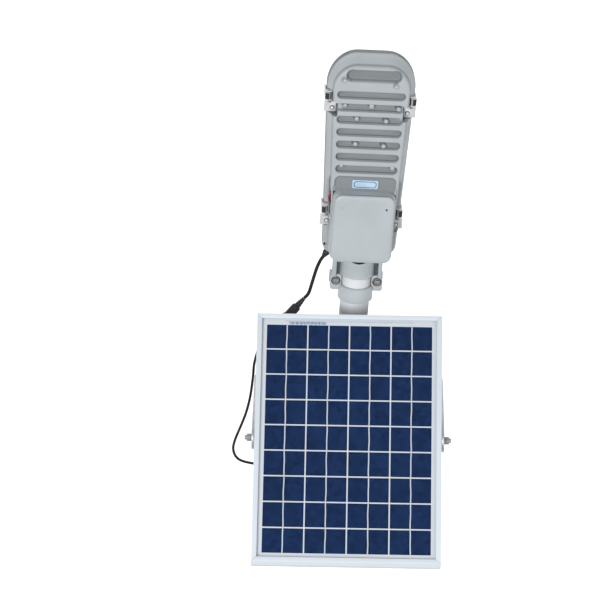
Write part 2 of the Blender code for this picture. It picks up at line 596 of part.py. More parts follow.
LAMP_ROUTE_POINTS = [(52.0, -379.0, 96.0), (54.8, -367.0, 91.0), (57.6, -354.0, 86.5)]
PANEL_ROUTE_POINTS = [(129.5, -145.5, 247.5), (139.0, -149.5, 240.0), (143.2, -156.0, 224.0), (142.0, -163.0, 203.0),
                      (137.0, -174.5, 181.0), (131.0, -189.5, 157.0), (127.0, -208.0, 135.0), (125.4, -230.0, 116.0),
                      (125.0, -247.0, 104.0)]


def build():
    arm = frame("arm_axis", None, (0, 0, 0), (-ARM_RISE, 0, 0))
    wall_arm(arm)
    turn = bracket(saddle(arm))
    panel = solar_panel(turn)
    lamp = frame("lamp_roll_axis", arm, (0, -LAMP_START, 0), (0, LAMP_ROLL, 0))
    housing(lamp)
    lid_parts(lamp)
    lamp_inside(lamp)
    neck_clamp(lamp)
    switch(lamp)
    gland(lamp)
    clips(lamp)
    cover(lamp)
    leads(lamp, panel)


build()
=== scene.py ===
"""Solar street lamp on its wall arm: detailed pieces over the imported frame.
Sizes are millimetres in each piece's own frame; place() turns them into world metres."""

from math import cos, pi, radians, sin, sqrt

import bmesh
import bpy
import numpy as np
from mathutils import Matrix, Vector


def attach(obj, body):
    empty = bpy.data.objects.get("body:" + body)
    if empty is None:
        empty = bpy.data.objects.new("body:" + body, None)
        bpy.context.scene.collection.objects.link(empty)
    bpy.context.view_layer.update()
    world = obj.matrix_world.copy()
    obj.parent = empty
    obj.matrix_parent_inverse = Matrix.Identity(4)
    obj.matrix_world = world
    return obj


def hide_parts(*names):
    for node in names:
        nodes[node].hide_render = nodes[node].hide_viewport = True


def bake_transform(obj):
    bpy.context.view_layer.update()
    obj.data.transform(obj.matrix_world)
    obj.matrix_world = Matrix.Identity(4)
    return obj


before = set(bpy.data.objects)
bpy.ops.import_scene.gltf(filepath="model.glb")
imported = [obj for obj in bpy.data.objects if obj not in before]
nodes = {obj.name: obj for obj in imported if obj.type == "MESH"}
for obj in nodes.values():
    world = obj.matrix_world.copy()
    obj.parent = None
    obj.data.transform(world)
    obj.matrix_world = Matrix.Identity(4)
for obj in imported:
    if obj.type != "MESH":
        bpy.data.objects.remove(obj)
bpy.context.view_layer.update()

MM = 0.001


# ---------------------------------------------------------------- frames, as the metalwork is set up

def turned_frame(parent, at=(0, 0, 0), rx=0.0, ry=0.0, rz=0.0):
    """A frame at a point of its parent, in millimetres, turned about x, then z, then y, in degrees."""
    turn = Matrix.Rotation(radians(ry), 4, "Y") @ Matrix.Rotation(radians(rz), 4, "Z")
    return parent @ Matrix.Translation(Vector(at) * MM) @ turn @ Matrix.Rotation(radians(rx), 4, "X")


WORLD = Matrix.Identity(4)
ARM = turned_frame(WORLD, rx=-15.0)
LAMP = turned_frame(ARM, (0, -350.0, 0), ry=-4.5)
SADDLE = turned_frame(ARM, (0, -241.5, 0), ry=-0.9)
BRACKET = turned_frame(SADDLE, rz=3.1)
PANEL = turned_frame(BRACKET, (0, 0, 190.0), rx=51.7) @ Matrix.Translation((0, 0, 4.6 * MM))


def place(points, space):
    """Points from millimetres in a frame to metres in the world."""
    turn = np.array(space)
    return np.asarray(points, float) * MM @ turn[:3, :3].T + turn[:3, 3]


# ---------------------------------------------------------------- camera, light, floor

SKY_STRENGTH, FLOOR_GLOW = 0.38, 0.38
FLOOR_HALF, FLOOR_Z = 9, -1.2
LAMP_SIDE = 2.4


def camera():
    """A long lens high above the lamp, looking down, with the arm's outer end upwards."""
    data = bpy.data.cameras.new("camera")
    data.sensor_width = 36.0
    data.lens = 267.69
    data.clip_end = 50.0
    eye = bpy.data.objects.new("camera", data)
    right, up = Vector((-0.99735, -0.07159, -0.01262)), Vector((0.07269, -0.98220, -0.17319))
    back = right.cross(up).normalized()
    eye.matrix_world = Matrix.Translation((0.07125, -1.34916, 5.85467)) @ Matrix(
        [[right[i], up[i], back[i]] for i in range(3)]).to_4x4()
    bpy.context.scene.collection.objects.link(eye)
    bpy.context.scene.camera = eye


def lamp_light(name, at, aim, power):
    """A square area light at a point, aimed at another."""
    data = bpy.data.lights.new(name, "AREA")
    data.shape, data.size, data.energy = "SQUARE", LAMP_SIDE, power
    light = bpy.data.objects.new(name, data)
    light.location = at
    light.rotation_euler = (Vector(aim) - Vector(at)).to_track_quat("-Z", "Y").to_euler()
    bpy.context.scene.collection.objects.link(light)


def studio():
    """A pale sky, two soft lights and a white floor well below the lamp."""
    scene = bpy.context.scene
    scene.view_settings.view_transform = "Standard"
    world = bpy.data.worlds.new("studio")
    world.use_nodes = True
    sky = world.node_tree.nodes["Background"]
    sky.inputs["Color"].default_value = (0.97, 0.985, 1.0, 1)
    sky.inputs["Strength"].default_value = SKY_STRENGTH
    scene.world = world
    lamp_light("key", (2.2, -0.6, 6.9), (0, -0.35, 0.1), 300.0)
    lamp_light("fill", (-2.6, 1.2, 6.2), (0, -0.3, 0.1), 95.0)
    mesh = bpy.data.meshes.new("floor")
    corners = [(x * FLOOR_HALF, y * FLOOR_HALF, FLOOR_Z) for x, y in ((-1, -1), (1, -1), (1, 1), (-1, 1))]
    mesh.from_pydata(corners, [], [(0, 1, 2, 3)])
    floor = bpy.data.objects.new("floor", mesh)
    scene.collection.objects.link(floor)
    pale = bpy.data.materials.new("floor_white")
    pale.use_nodes = True
    shader = pale.node_tree.nodes["Principled BSDF"]
    shader.inputs["Base Color"].default_value = (0.97, 0.975, 0.98, 1)
    shader.inputs["Roughness"].default_value = 0.9
    shader.inputs["Specular IOR Level"].default_value = 0.0
    shader.inputs["Emission Color"].default_value = (1, 1, 1, 1)
    shader.inputs["Emission Strength"].default_value = FLOOR_GLOW
    mesh.materials.append(pale)


camera()
studio()


# ---------------------------------------------------------------- finishes

# Faces whose normal points up by at least this much keep their full colour; walls and undersides get painted
# shade.
LIT_SLOPE = 0.42
# Shares of the head's grey at each relief tone, all painted shade: a little on the crests, none on plain
# faces, most in the gaps.
RELIEF_TONES = ((0.0, 0.77), (0.36, 1.0), (0.62, 0.52), (1.0, 0.20))
# Painted shadow of the panel's upper edge on the pipe: where along the arm, how far either side, and how
# dark.
PANEL_SHADOW_AT, PANEL_SHADOW_REACH, PANEL_SHADOW_SHARE = 337.0, 17.0, 0.42
FINGER_PITCH = 2.4


class Finish:
    """A node material: noise-driven colour and bump around one shader."""

    def __init__(self, name, colour, rough=0.5, metal=0.0, **sockets):
        self.mat = bpy.data.materials.new(name)
        self.mat.use_nodes = True
        self.tree = self.mat.node_tree
        self.shader = self.tree.nodes["Principled BSDF"]
        self.colour = tuple(colour)
        self.shader.inputs["Roughness"].default_value = rough
        self.shader.inputs["Metallic"].default_value = metal
        self.shader.inputs["Base Color"].default_value = (*colour, 1)
        for key, value in sockets.items():
            self.shader.inputs[key.replace("_", " ")].default_value = value
        self.coords = self.node("ShaderNodeTexCoord").outputs["Object"]

    def node(self, kind):
        return self.tree.nodes.new(kind)

    def link(self, out, into):
        self.tree.links.new(out, into)

    def noise(self, scale, detail=3.0, stretch=(1, 1, 1)):
        mapping = self.node("ShaderNodeMapping")
        mapping.inputs["Scale"].default_value = stretch
        self.link(self.coords, mapping.inputs["Vector"])
        noise = self.node("ShaderNodeTexNoise")
        noise.inputs["Scale"].default_value = scale
        noise.inputs["Detail"].default_value = detail
        self.link(mapping.outputs["Vector"], noise.inputs["Vector"])
        return noise.outputs[0]

    def reach(self, vector, direction):
        """How far a vector reaches in a direction."""
        dot = self.node("ShaderNodeVectorMath")
        dot.operation = "DOT_PRODUCT"
        dot.inputs[1].default_value = direction
        self.link(vector, dot.inputs[0])
        return dot.outputs["Value"]

    def maths(self, operation, value, other=0.0):
        step = self.node("ShaderNodeMath")
        step.operation = operation
        step.inputs[1].default_value = other
        self.link(value, step.inputs[0])
        return step.outputs[0]

    def multiply(self, one, other):
        """The product of two colours."""
        mix = self.node("ShaderNodeMix")
        mix.data_type, mix.blend_type = "RGBA", "MULTIPLY"
        mix.inputs["Factor"].default_value = 1.0
        self.link(one, mix.inputs["A"])
        self.link(other, mix.inputs["B"])
        return mix.outputs["Result"]

    def shade(self, cover):
        """The colour so far, multiplied by a cover."""
        socket = self.shader.inputs["Base Color"]
        self.link(self.multiply(socket.links[0].from_socket, cover), socket)
        return self

    def ramp(self, value, low, high, colours):
        ramp = self.node("ShaderNodeValToRGB")
        ramp.color_ramp.elements[0].position, ramp.color_ramp.elements[1].position = low, high
        for element, colour in zip(ramp.color_ramp.elements, colours):
            element.color = (*colour, 1)
        self.link(value, ramp.inputs["Fac"])
        return ramp.outputs["Color"]

    def tint(self, scale, spread, stretch=(1, 1, 1)):
        """The colour wanders by a share either side over the surface."""
        pair = [tuple(c * (1 + s * spread) for c in self.colour) for s in (-1, 1)]
        wander = self.ramp(self.noise(scale, 4.0, stretch), 0.35, 0.65, pair)
        self.link(wander, self.shader.inputs["Base Color"])
        return self

    def painted_wall_shade(self, share):
        """Painted shade: the upper faces keep their colour, and walls and undersides are darker by a share.
        """
        normal = self.node("ShaderNodeNewGeometry").outputs["True Normal"]
        facing_up = self.reach(normal, (0.0, 0.0, 1.0))
        return self.shade(self.ramp(facing_up, 0.0, LIT_SLOPE, ((share,) * 3, (1.0,) * 3)))

    def bump(self, value, strength, distance):
        bump = self.node("ShaderNodeBump")
        bump.inputs["Strength"].default_value = strength
        bump.inputs["Distance"].default_value = distance
        if self.shader.inputs["Normal"].is_linked:
            self.link(self.shader.inputs["Normal"].links[0].from_socket, bump.inputs["Normal"])
        self.link(value, bump.inputs["Height"])
        self.link(bump.outputs["Normal"], self.shader.inputs["Normal"])
        return self

    def rough(self, value, low, high):
        spread = self.node("ShaderNodeMapRange")
        spread.inputs["To Min"].default_value, spread.inputs["To Max"].default_value = low, high
        self.link(value, spread.inputs["Value"])
        self.link(spread.outputs["Result"], self.shader.inputs["Roughness"])
        return self


def cast_grain(paint):
    """The fine and the coarse unevenness of a painted casting."""
    return paint.bump(paint.noise(900.0, 2.0), 0.10, 0.0004).bump(paint.noise(140.0), 0.06, 0.0008).mat


def cast_paint(name, colour):
    """Semi-gloss paint on cast metal, with painted shade on its walls and undersides."""
    paint = Finish(name, colour, 0.42, 0.0, Coat_Weight=0.12, Coat_Roughness=0.3).tint(22.0, 0.035)
    paint.painted_wall_shade(0.62)
    paint.rough(paint.noise(60.0), 0.36, 0.52)
    return cast_grain(paint)


def relief_shaded_casting(name, colour):
    """Cast paint whose colour follows the relief attribute: painted shade in the hollows, gaps, bay and
    crease and at the rim, a little on the crests, with noise shifting the tone.
    """
    paint = Finish(name, colour, 0.45, 0.0, Coat_Weight=0.10, Coat_Roughness=0.35)
    relief = paint.node("ShaderNodeAttribute")
    relief.attribute_name = "relief"
    wander = paint.noise(30.0, 3.0)
    shift = paint.node("ShaderNodeMath")
    shift.operation = "MULTIPLY_ADD"
    shift.inputs[1].default_value = 0.10
    paint.link(wander, shift.inputs[0])
    paint.link(relief.outputs["Fac"], shift.inputs[2])
    ramp = paint.node("ShaderNodeValToRGB")
    for at, _ in RELIEF_TONES[1:-1]:
        ramp.color_ramp.elements.new(at)
    for element, (at, share) in zip(ramp.color_ramp.elements, RELIEF_TONES):
        element.position = at
        element.color = (*[c * share for c in colour], 1)
    paint.link(shift.outputs[0], ramp.inputs["Fac"])
    paint.link(ramp.outputs["Color"], paint.shader.inputs["Base Color"])
    paint.painted_wall_shade(0.70)
    paint.rough(paint.noise(60.0), 0.38, 0.55)
    return cast_grain(paint)


def powder_coat(name, colour):
    """Smooth baked coat."""
    coat = Finish(name, colour, 0.38, 0.0, Coat_Weight=0.2, Coat_Roughness=0.25).tint(9.0, 0.02)
    return coat.bump(coat.noise(700.0, 2.0), 0.07, 0.0004).mat


def pipe_coat(name, colour):
    """Matte white coat, darkened as painted shadow where the panel's upper edge shades the pipe."""
    coat = Finish(name, colour, 0.62, 0.0, Specular_IOR_Level=0.2).tint(9.0, 0.02)
    along = coat.reach(coat.coords, [-ARM[i][1] for i in range(3)])
    away = coat.maths("ABSOLUTE", coat.maths("SUBTRACT", along, PANEL_SHADOW_AT * MM))
    coat.shade(coat.ramp(away, 0.0, PANEL_SHADOW_REACH * MM, ((PANEL_SHADOW_SHARE,) * 3, (1.0,) * 3)))
    return coat.bump(coat.noise(700.0, 2.0), 0.07, 0.0004).mat


def brushed(name, colour, stretch, rough=0.42, metal=0.55):
    """Metal whose grain runs along the axis with the small stretch."""
    steel = Finish(name, colour, rough, metal)
    grain = steel.noise(1400.0, 2.0, stretch)
    steel.tint(40.0, 0.06, stretch)
    steel.rough(steel.noise(90.0), rough - 0.08, rough + 0.12)
    return steel.bump(grain, 0.06, 0.0002).mat


def moulded(name, colour, rough=0.5, gloss=0.4):
    """Plastic or rubber out of a mould."""
    plastic = Finish(name, colour, rough, Specular_IOR_Level=gloss).tint(60.0, 0.12)
    plastic.rough(plastic.noise(120.0), rough - 0.08, rough + 0.1)
    return plastic.bump(plastic.noise(1600.0, 1.0), 0.12, 0.0002).mat


def clear_pane(name):
    """Clear glass that lets the light straight through and keeps its gloss."""
    pane = Finish(name, (0.02, 0.03, 0.035), 0.03, 0.0, Alpha=0.05, Specular_IOR_Level=0.4)
    pane.rough(pane.noise(30.0), 0.02, 0.06)
    return pane.mat


def cell_silicon(name):
    """Grains of polycrystalline silicon, with fine printed fingers across them."""
    cell = Finish(name, (0.010, 0.028, 0.100), 0.35, 0.0, Specular_IOR_Level=0.25)
    grains = cell.node("ShaderNodeTexVoronoi")
    grains.inputs["Scale"].default_value = 150.0
    cell.link(cell.coords, grains.inputs["Vector"])
    tones = cell.ramp(grains.outputs["Color"], 0.15, 0.85, ((0.002, 0.017, 0.074), (0.006, 0.028, 0.112)))
    cloud = cell.ramp(cell.noise(7.0), 0.3, 0.7, ((0.82, 0.85, 0.9), (1.15, 1.1, 1.05)))
    along = cell.reach(cell.coords, [PANEL[i][1] for i in range(3)])
    beat = cell.maths("SINE", cell.maths("MULTIPLY", along, 2 * pi / (FINGER_PITCH * MM)))
    fingers = cell.ramp(beat, 0.55, 0.95, ((1.0, 1.0, 1.0), (1.7, 1.6, 1.45)))
    cell.link(cell.multiply(cell.multiply(tones, cloud), fingers), cell.shader.inputs["Base Color"])
    return cell.mat


CAST = cast_paint("cast_grey_paint", (0.43, 0.465, 0.485))
# A dark copy of the cast grey, as painted shade on the floors between the neck's rails.
CAST_SHADE = cast_paint("cast_grey_recess", (0.10, 0.11, 0.115))
HEAD_PAINT = relief_shaded_casting("head_grey_paint", (0.465, 0.503, 0.524))
# A lighter grey for the lid and screw heads; the neck's sleeves take it as painted light.
LID_PAINT = cast_paint("lid_grey_paint", (0.47, 0.51, 0.53))
WHITE = powder_coat("white_powder_coat", (0.72, 0.74, 0.75))
PIPE_WHITE = pipe_coat("pipe_white_coat", (0.72, 0.74, 0.755))
# Dark brownish steel for the clamp bolts and one clip's tail; on the bolts the darkness is painted shade.
DARK_BOLT_STEEL = brushed("dark_bolt_steel", (0.25, 0.24, 0.22), (1, 1, 1), 0.42, 0.6)
FRAME_ALU = powder_coat("frame_white_aluminium", (0.74, 0.80, 0.86))
STEEL = brushed("brushed_stainless", (0.40, 0.41, 0.42), (1, 0.05, 1))
CLIP_STEEL = brushed("clip_stainless", (0.70, 0.70, 0.71), (1, 0.05, 1), 0.45, 0.25)
ZINC = brushed("zinc_plate", (0.50, 0.51, 0.52), (1, 1, 1), 0.45)
BLACK = moulded("black_moulding", (0.022, 0.022, 0.023), 0.48)
JACKET = moulded("cable_jacket", (0.018, 0.020, 0.019), 0.62, 0.15)
RUBBER = moulded("gasket_rubber", (0.03, 0.03, 0.03), 0.75)
RED = moulded("red_rocker", (0.30, 0.008, 0.014), 0.35)
SHEET = Finish("white_back_film", (0.86, 0.91, 0.98), 0.5).tint(6.0, 0.012).mat
RIBBON = brushed("tinned_ribbon", (0.78, 0.83, 0.90), (1, 0.2, 1), 0.5, 0.1)
CELLS = cell_silicon("cell_silicon")
PANE = clear_pane("clear_pane")
BOARD = moulded("board_white_mask", (0.82, 0.83, 0.80), 0.4)
GREEN = moulded("board_green_mask", (0.02, 0.20, 0.07), 0.4)
WRAP = moulded("battery_wrap", (0.04, 0.16, 0.40), 0.3)
LABEL_BLUE = moulded("label_pale_blue", (0.50, 0.64, 0.78), 0.35)
LABEL_INK = moulded("label_ink", (0.05, 0.16, 0.36), 0.35)
# Near-black matte for painted shade in the lip gap, the drain hole and a screw socket, and as painted shadow
# round the rivets and clamp bolts.
SHADE_BLACK = moulded("painted_shade_black", (0.015, 0.015, 0.015), 0.8)


# ---------------------------------------------------------------- making pieces

def piece(name, verts, faces, material, space=WORLD, body=None, node=None, slot=None, sharp=32.0):
    """A mesh in its place, riding on its body and standing for its node."""
    mesh = bpy.data.meshes.new(name)
    mesh.from_pydata([tuple(p) for p in place(verts, space)], [], [tuple(f) for f in faces])
    obj = bpy.data.objects.new(name, mesh)
    bpy.context.scene.collection.objects.link(obj)
    return dress(obj, material, body, node, sharp)


def dress(obj, material, body=None, node=None, sharp=32.0):
    """One finish, smooth faces with sharp edges kept, and what the piece belongs to."""
    obj.data.materials.clear()
    obj.data.materials.append(material)
    for face in obj.data.polygons:
        face.use_smooth = True
        face.material_index = 0
    obj.data.set_sharp_from_angle(angle=radians(sharp))
    if node:
        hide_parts(*([node] if isinstance(node, str) else node))
    if body:
        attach(obj, body)
    return obj


def apply_modifiers(obj):
    """The mesh as its modifiers leave it."""
    graph = bpy.context.evaluated_depsgraph_get()
    mesh = bpy.data.meshes.new_from_object(obj.evaluated_get(graph))
    old = obj.data
    obj.modifiers.clear()
    obj.data = mesh
    bpy.data.meshes.remove(old)


def bevel(obj, width, segments):
    """Rounds every edge between faces that meet at more than 30 degrees."""
    change = obj.modifiers.new("edge", "BEVEL")
    change.width, change.segments = width * MM, segments
    change.limit_method, change.angle_limit = "ANGLE", radians(30.0)
    change.harden_normals = False


def refined(node, material, body, width=0.4, segments=2, sharp=35.0):
    """A node's own shape with its edges eased: the triangles are merged back into faces first."""
    mesh = nodes[node].data.copy()
    work = bmesh.new()
    work.from_mesh(mesh)
    bmesh.ops.remove_doubles(work, verts=work.verts, dist=1e-6)
    bmesh.ops.dissolve_limit(work, angle_limit=radians(1.0), verts=work.verts, edges=work.edges)
    work.to_mesh(mesh)
    work.free()
    obj = bpy.data.objects.new(f"{node}_finish", mesh)
    bpy.context.scene.collection.objects.link(obj)
    if width:
        bevel(obj, width, segments)
        apply_modifiers(obj)
    return dress(obj, material, body, node, sharp)


def glaze(node):
    """A node that stays in view as its own clear pane."""
    glass = nodes[node].data
    glass.materials.clear()
    glass.materials.append(PANE)


def rings_faces(rings, count, closed=False):
    """Faces between neighbouring rings, with a cap at each end or a join from the last to the first."""
    faces = []
    for k in range(rings - (0 if closed else 1)):
        a, b = k * count, (k + 1) % rings * count
        for i in range(count):
            j = (i + 1) % count
            faces.append((a + i, a + j, b + j, b + i))
    if not closed:
        faces += [tuple(range(count))[::-1], tuple(range((rings - 1) * count, rings * count))]
    return faces


def lofted(name, rings, material, space, closed=False, **keep):
    """A piece whose skin runs through rings of points."""
    verts = [p for ring in rings for p in ring]
    faces = outward(verts, rings_faces(len(rings), len(rings[0]), closed))
    return piece(name, verts, faces, material, space, **keep)


def outward(verts, faces):
    """The faces of a closed shape, turned so that they look out of it."""
    v, volume = np.asarray(verts, float), 0.0
    for f in faces:
        for i in range(1, len(f) - 1):
            volume += float(np.dot(v[f[0]], np.cross(v[f[i]], v[f[i + 1]])))
    return faces if volume > 0 else [tuple(reversed(f)) for f in faces]


def circle(r, count, at=(0.0, 0.0)):
    return [(at[0] + r * cos(2 * pi * i / count), at[1] + r * sin(2 * pi * i / count)) for i in range(count)]


def upright(stations, count, at):
    """Rings of a turned shape that stands on a point: stations are (radius, height)."""
    return [[(u, v, z) for u, v in circle(r, count, at)] for r, z in stations]


def rounded(x0, x1, y0, y1, r, steps=6):
    """A rectangle's outline with round corners."""
    points = []
    corners = ((x1 - r, y1 - r, 0), (x0 + r, y1 - r, 90), (x0 + r, y0 + r, 180), (x1 - r, y0 + r, 270))
    for cx, cy, start in corners:
        turns = [radians(start + 90 * i / steps) for i in range(steps + 1)]
        points += [(cx + r * cos(a), cy + r * sin(a)) for a in turns]
    return points


# ---------------------------------------------------------------- leads

LAMP_ROUTE = [(52.0, -379.0, 96.0), (54.8, -367.0, 91.0), (57.6, -354.0, 86.5)]
PANEL_ROUTE = [(129.5, -145.5, 247.5), (139.0, -149.5, 240.0), (143.2, -156.0, 224.0),
               (142.0, -163.0, 203.0), (137.0, -174.5, 181.0), (131.0, -189.5, 157.0),
               (127.0, -208.0, 135.0), (125.4, -230.0, 116.0), (125.0, -247.0, 104.0)]
PLUG_START, PLUG_END = Vector((66.0, -334.5, 84.0)), Vector((115.5, -272.0, 92.0))
GLAND_AT, GLAND_DIR = Vector((40.0, -68.1, -3.5)), Vector((1, 1.73, 0)).normalized()
LAMP_LEAD_THICK, PANEL_LEAD_THICK = 4.5, 3.4
PLUG_SHARE, RIB_DEPTH = 0.56, 0.35


def local_box(node, space):
    """A node's lowest and highest corner in a frame's own directions, in millimetres."""
    back = space.inverted()
    points = np.array([back @ (nodes[node].matrix_world @ v.co) for v in nodes[node].data.vertices]) / MM
    return points.min(axis=0), points.max(axis=0)


def smooth_route(points, spacing):
    """Points every spacing along a smooth curve through the route's points."""
    ends = [points[0] * 2 - points[1]] + points + [points[-1] * 2 - points[-2]]
    dense = []
    for k in range(1, len(ends) - 2):
        p0, p1, p2, p3 = ends[k - 1:k + 3]
        for i in range(24):
            t = i / 24
            dense.append(0.5 * (2 * p1 + (p2 - p0) * t + (2 * p0 - 5 * p1 + 4 * p2 - p3) * t * t
                                + (3 * p1 - p0 - 3 * p2 + p3) * t ** 3))
    dense.append(points[-1])
    total = sum((b - a).length for a, b in zip(dense, dense[1:]))
    count = max(2, round(total / spacing))
    out, walked, target = [dense[0]], 0.0, total / count
    for a, b in zip(dense, dense[1:]):
        step = (b - a).length
        while walked + step >= target - 1e-9 and len(out) < count:
            out.append(a.lerp(b, (target - walked) / step))
            target += total / count
        walked += step
    return out + [dense[-1]]


def tube_rings(path, radius, count):
    """Rings square to a path, carried along it without twisting."""
    rings, side = [], None
    for k, at in enumerate(path):
        along = (path[min(k + 1, len(path) - 1)] - path[max(k - 1, 0)]).normalized()
        if side is None:
            side = along.cross(Vector((0, 0, 1))).normalized()
        side = (side - along * side.dot(along)).normalized()
        up = along.cross(side)
        r = radius(k / (len(path) - 1)) if callable(radius) else radius
        rings.append([tuple(at + side * u + up * v) for u, v in circle(r, count)])
    return rings


def local_point(space, point):
    """A frame's point in world millimetres."""
    return space @ (Vector(point) * MM) / MM


def lead(name, node, route, diameter):
    """A cable along its route: it leaves one body and ends in a connector on another."""
    path = smooth_route(route, diameter * 0.7)
    rings = tube_rings(path, diameter / 2, 14)
    obj = lofted(name, rings, JACKET, WORLD, node=node, slot="black_rubber", sharp=60)
    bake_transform(obj)


def turned_between(name, node, start, end, stations, material, body, slot):
    """A turned body between two points: stations are (share along, radius)."""
    along = (end - start).normalized()
    side = along.cross(Vector((0, 0, 1))).normalized()
    up = side.cross(along)
    rings = [[tuple(start.lerp(end, s) + side * u + up * v) for u, v in circle(r, 28)] for s, r in stations]
    return lofted(name, rings, material, WORLD, body=body, node=node, slot=slot, sharp=40)


def ribbed(start, stop, low, high, ribs):
    """Stations of a tapered sleeve with ribs."""
    out = []
    for i in range(ribs * 4 + 1):
        t = i / (ribs * 4)
        r = low + (high - low) * t
        out.append((start + (stop - start) * t, r - (RIB_DEPTH if i % 4 in (2, 3) else 0.0)))
    return out


def leads():
    """The plug and socket that meet beside the arm, and the two cables that run into them."""
    axis = (PLUG_END - PLUG_START).normalized()
    middle = PLUG_START.lerp(PLUG_END, PLUG_SHARE)
    nut = [(0.74 + 0.24 * i / 12, 7.9 if i % 2 else 7.5) for i in range(13)]
    barrel = [(0.33, 6.0), (0.36, 6.3), (0.68, 6.3), (0.70, 6.9), (0.72, 7.6)]
    plug = turned_between("lamp_plug_body", "lamp_plug", PLUG_START, middle - axis * 0.15,
                          ribbed(0.0, 0.30, 2.6, 4.6, 4) + barrel + nut + [(1.0, 7.4)],
                          BLACK, "arm", "black_plastic")
    shell = [(0.50, 5.4), (0.54, 6.0), (0.97, 6.0), (1.0, 5.7)]
    socket = turned_between("panel_socket_body", "panel_socket", PLUG_END, middle + axis * 0.15,
                            ribbed(0.0, 0.45, 2.1, 3.7, 4) + shell, BLACK, "arm", "black_plastic")
    start = local_point(LAMP, GLAND_AT + GLAND_DIR * 9.3)
    second = local_point(LAMP, GLAND_AT + GLAND_DIR * 16.0)
    entry = PLUG_START - axis * 0.3
    lead("lamp_lead_cable", "lamp_lead", [start, second, *map(Vector, LAMP_ROUTE), entry - axis * 8, entry],
         LAMP_LEAD_THICK)
    out = local_point(PANEL, (105.3, 34.0, -13.5))
    after = local_point(PANEL, (113.0, 34.0, -13.5))
    leave = PLUG_END + axis * 0.3
    lead("panel_lead_cable", "panel_lead", [out, after, *map(Vector, PANEL_ROUTE), leave + axis * 8, leave],
         PANEL_LEAD_THICK)


leads()


# ---------------------------------------------------------------- lamp housing

# The outline: round rear corners up to REAR_END, sides that widen evenly, and an elliptical nose.
REAR_END, REAR_FLAT, REAR_R = 82.0, 32.0, 16.0
NOSE, NOSE_LONG, NOSE_FLAT, NOSE_WIDE = 349.5, 46.0, 19.0, 38.0
NOSE_STRETCH = 0.75

# The grooves, the pocket at the nose, the label's bay and the notches for the clips.
GROOVES = [196.3 + 16.8 * k for k in range(7)]
GROOVE_IN, GROOVE_WIDE, GROOVE_DEEP = 12.5, 10.6, 6.2
POCKET_AT, POCKET_OFF, POCKET_HALF, POCKET_WIDE, POCKET_DEEP = 323.3, 2.0, 36.0, 16.8, 7.0
BAY_HALF, BAY_FROM, BAY_TO, BAY_R, BAY_DEEP = 40.5, 160.0, 187.0, 8.0, 3.0
CLIPS = {"front_left": (1, 276.0), "front_right": (-1, 272.0),
         "rear_left": (1, 117.0), "rear_right": (-1, 115.0)}
CLIP_IN = {True: 12.0, False: 9.2}
NOTCH_FLOOR, NOTCH_WALL = 3.3, 40.0

# The plateau under the case, which ends at CASE_END.
CASE_END, CASE_IN, CASE_TOP = 172.0, 10.5, 22.0
SLOPE_END = 7.0

# Ejector posts, as (across, along, radius).
POSTS = [(-1, 283, 3.0), (33, 283, 2.0), (-36, 280.5, 2.5), (17, 265.5, 2.5), (-21, 263.5, 2.5),
         (16.5, 231, 2.5), (-20, 229.5, 2.5), (32.5, 201, 2.0), (-33.5, 200, 2.5), (35.5, 316.5, 2.5),
         (-31, 311, 2.5)]
POCKET_POSTS_FROM = 300

# Tones of painted shade from the casting's relief: over PLAIN is a hollow, under it a ridge, and 1 is the
# painted shade of a dark gap.
PLAIN, FLANGE_TONE, RIM_SHADE = 0.35, 0.36, 0.72
SMOOTHING_PASSES, TONE_PER_MM, DEEPEST = 60, 0.16, 0.32
BAY_SHADE, CREASE_SHADE, CREASE_HALF, CREASE_FROM = 0.25, 0.24, 0.55, 176
GROOVE_POST_SHADOW, POCKET_POST_SHADOW, POST_SPREAD = 0.45, 0.22, 2.2


def edge(along):
    """Half the width between the rear corners and the nose."""
    return 48.0 + (along - REAR_END) * 9.0 / 223.0


def half_width(along):
    if along < REAR_END:
        return REAR_FLAT + sqrt(max(REAR_R ** 2 - (REAR_END - along) ** 2, 0.0))
    if along < NOSE - NOSE_LONG:
        return edge(along)
    return NOSE_FLAT + NOSE_WIDE * sqrt(max(1.0 - ((along - NOSE + NOSE_LONG) / NOSE_LONG) ** 2, 0.0))


def head_top(along):
    """The ridges' height, which falls towards the nose."""
    return 25.0 - np.maximum(along - 175.0, 0.0) * 9.0 / 165.0


def ramp01(t):
    """A smooth step from 0 to 1."""
    t = np.clip(t, 0.0, 1.0)
    return t * t * (3 - 2 * t)


def edge_distance(x, along):
    """How far in from the housing's outline, and how much it faces the nose, as 0 to 1."""
    x = np.abs(x)
    corner = NOSE - NOSE_LONG
    side = edge(np.clip(along, REAR_END, corner)) - x
    u, v = np.maximum(x - NOSE_FLAT, 0.0), np.maximum(along - corner, 0.0)
    r = np.sqrt((u / NOSE_WIDE) ** 2 + (v / NOSE_LONG) ** 2) + 1e-9
    slope = np.sqrt((u / NOSE_WIDE ** 2) ** 2 + (v / NOSE_LONG ** 2) ** 2) + 1e-9
    nose = (1 - r) * r / slope
    facing = np.where(along > corner, (v / NOSE_LONG) ** 2 / r ** 2, 0.0)
    u, v = np.maximum(x - REAR_FLAT, 0.0), np.maximum(REAR_END - along, 0.0)
    rear = REAR_R - np.sqrt(u * u + v * v)
    return np.where(along > corner, nose, np.where(along < REAR_END, rear, side)), facing


def slope_inset(x, along):
    """How far in from the outline, and the same with the slope drawn out at the nose."""
    d, facing = edge_distance(x, along)
    return d, d / (1 + NOSE_STRETCH * facing)


def slot_distance(x, along, centre, half, wide):
    """Signed distance to a round-ended slot lying across the head: under 0 inside it."""
    return np.hypot(np.maximum(np.abs(x) - (half - wide / 2), 0.0), along - centre) - wide / 2


def bay_distance(x, along):
    """Signed distance to the label's bay, a rounded rectangle: under 0 inside it."""
    qx = np.abs(x) - BAY_HALF + BAY_R
    qy = np.abs(along - (BAY_FROM + BAY_TO) / 2) - (BAY_TO - BAY_FROM) / 2 + BAY_R
    return np.hypot(np.maximum(qx, 0), np.maximum(qy, 0)) + np.minimum(np.maximum(qx, qy), 0) - BAY_R


